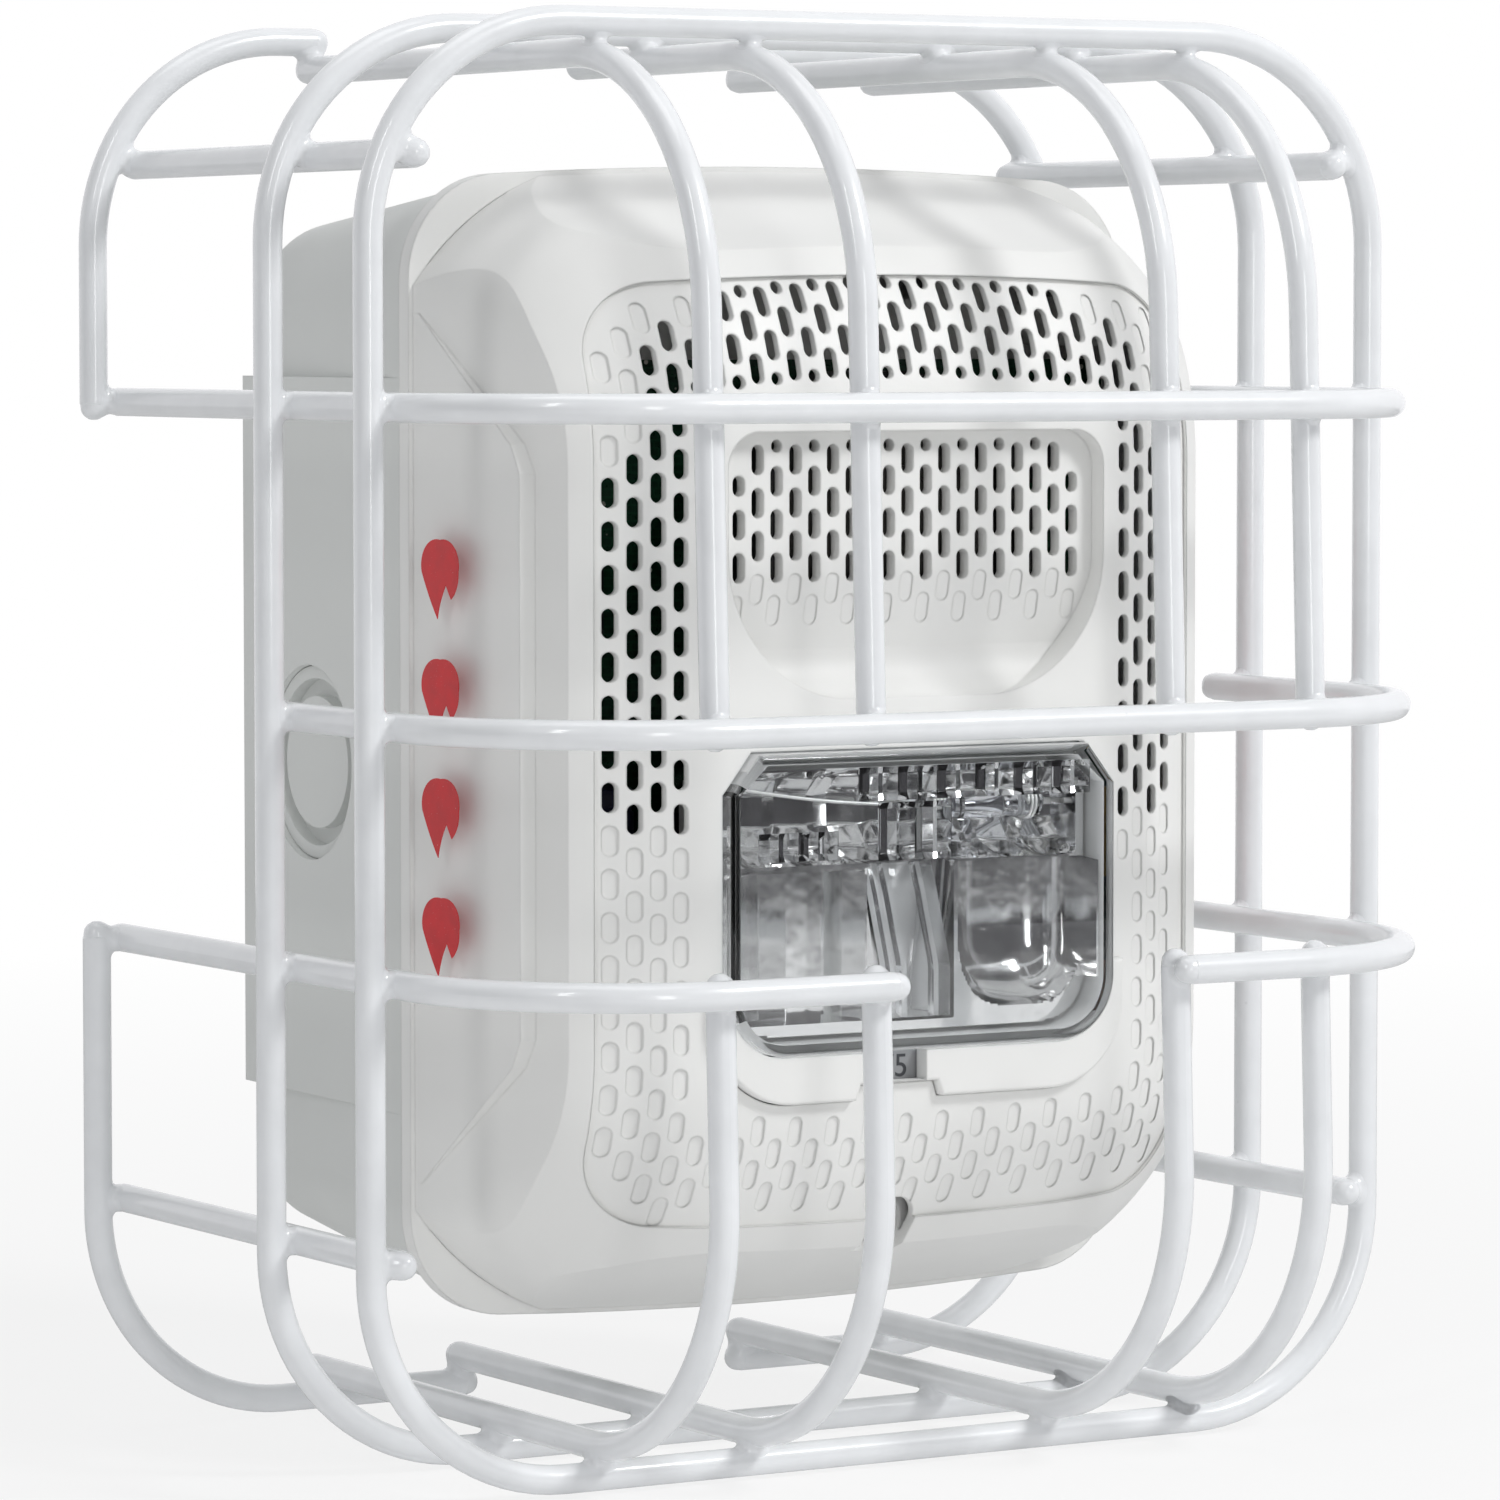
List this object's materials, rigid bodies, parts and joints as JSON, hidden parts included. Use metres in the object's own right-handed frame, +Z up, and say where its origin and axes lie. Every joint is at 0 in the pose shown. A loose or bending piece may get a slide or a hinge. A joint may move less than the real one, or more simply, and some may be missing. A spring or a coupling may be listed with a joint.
{
  "type": "horn strobe",
  "caption": "Wall-mounted fire alarm horn strobe on a surface back box, with a slotted horn grille and clear flash lens, standing inside a welded wire guard.",
  "frame": {"origin": "centre of the back box wall-screw pattern, on the wall plane", "axes": "+Z up, front of the device and guard faces -Y, wall plane is y = 0 with +Y into the wall"},
  "size_m": [0.1692, 0.1279, 0.2041],
  "materials": {
    "guard_coating": "glossy white plastic coating over steel wire",
    "box_plastic": "satin moulded off-white plastic",
    "cover_plastic": "satin moulded off-white plastic",
    "plate_plastic": "satin moulded plastic",
    "shell_plastic": "satin moulded plastic",
    "gasket_rubber": "soft dark foam rubber",
    "zinc_steel": "bright zinc plated steel",
    "spring_brass": "spring strip",
    "black_plastic": "moulded black plastic",
    "connector_plastic": "moulded ivory plastic",
    "board_green": "solder mask",
    "capacitor_sleeve": "shrink sleeve",
    "ferrite_core": "ferrite with wound wire",
    "potting_plastic": "taped winding",
    "horn_frame_plastic": "moulded black plastic",
    "magnet_ferrite": "sintered ferrite",
    "coil_wire": "enamelled copper wire",
    "diaphragm_film": "thin formed film",
    "clear_lens": "clear polished polycarbonate",
    "tube_glass": "clear glass",
    "reflector_chrome": "vacuum metallised plastic",
    "slider_grey": "printed moulded plastic",
    "selector_plastic": "moulded white plastic",
    "red_print": "printed red ink film"
  },
  "bodies": {
    "housing_and_guard": {"back_box": "box_plastic", "back_shell_screws": "zinc_steel", "board_connector": "connector_plastic", "box_gasket": "gasket_rubber", "circuit_board": "board_green", "circuit_chips": "black_plastic", "conduit_plug_left": "box_plastic", "conduit_plug_right": "box_plastic", "device_back_shell": "shell_plastic", "flash_capacitor": "capacitor_sleeve", "flash_tube": "tube_glass", "flash_tube_leads": "zinc_steel", "front_cover": "cover_plastic", "guard_crossbar_lower_left": "guard_coating", "guard_crossbar_lower_right": "guard_coating", "guard_crossbar_middle": "guard_coating", "guard_crossbar_upper": "guard_coating", "guard_front_ring": "guard_coating", "guard_middle_ring": "guard_coating", "guard_rear_wire_lower_left": "guard_coating", "guard_rear_wire_lower_right": "guard_coating", "guard_rear_wire_upper_left": "guard_coating", "guard_rear_wire_upper_right": "guard_coating", "guard_side_bar_lower_left": "guard_coating", "guard_side_bar_lower_right": "guard_coating", "guard_side_bar_upper_left": "guard_coating", "guard_side_bar_upper_right": "guard_coating", "guard_upright_1_lower": "guard_coating", "guard_upright_1_upper": "guard_coating", "guard_upright_2_lower": "guard_coating", "guard_upright_2_upper": "guard_coating", "guard_upright_3_lower": "guard_coating", "guard_upright_3_upper": "guard_coating", "guard_upright_4_lower": "guard_coating", "guard_upright_4_upper": "guard_coating", "horn_chamber_ring": "horn_frame_plastic", "horn_frame": "horn_frame_plastic", "horn_pole_piece": "zinc_steel", "horn_ring_magnet": "magnet_ferrite", "inductor": "ferrite_core", "lens_bezel": "cover_plastic", "light_guide": "clear_lens", "mounting_plate": "plate_plastic", "mounting_plate_screws": "zinc_steel", "shorting_spring": "spring_brass", "side_marks_left": "red_print", "side_marks_right": "red_print", "strobe_lens": "clear_lens", "strobe_reflector": "reflector_chrome", "terminal_block": "black_plastic", "terminal_screws": "zinc_steel", "trigger_transformer": "potting_plastic"},
    "candela_switch": {"candela_slider": "slider_grey"},
    "tone_selector": {"tone_selector_wheel": "selector_plastic"},
    "volume_selector": {"volume_selector_wheel": "selector_plastic"},
    "horn_diaphragm_unit": {"horn_diaphragm": "diaphragm_film", "horn_voice_coil": "coil_wire"},
    "cover_fastener": {"cover_screw": "zinc_steel"}
  },
  "joints": [
    {"name": "candela_slide", "type": "slide", "parent": "housing_and_guard", "child": "candela_switch", "axis": [1, 0, 0], "range_m": [-0.0095, 0.0095]},
    {"name": "tone_selector_turn", "type": "hinge", "parent": "housing_and_guard", "child": "tone_selector", "pos_m": [-0.012, -0.0606, 0.014], "axis": [0, 1, 0], "range_deg": [-135, 135]},
    {"name": "volume_selector_turn", "type": "hinge", "parent": "housing_and_guard", "child": "volume_selector", "pos_m": [0.012, -0.0606, 0.014], "axis": [0, 1, 0], "range_deg": [-135, 135]},
    {"name": "diaphragm_travel", "type": "slide", "parent": "housing_and_guard", "child": "horn_diaphragm_unit", "axis": [0, 1, 0], "range_m": [-0.0004, 0.0004], "stiffness_N_per_m": 2500},
    {"name": "cover_screw_turn", "type": "hinge", "parent": "housing_and_guard", "child": "cover_fastener", "pos_m": [0, -0.06, -0.0668], "axis": [0, 1, 0], "continuous": true}
  ]
}
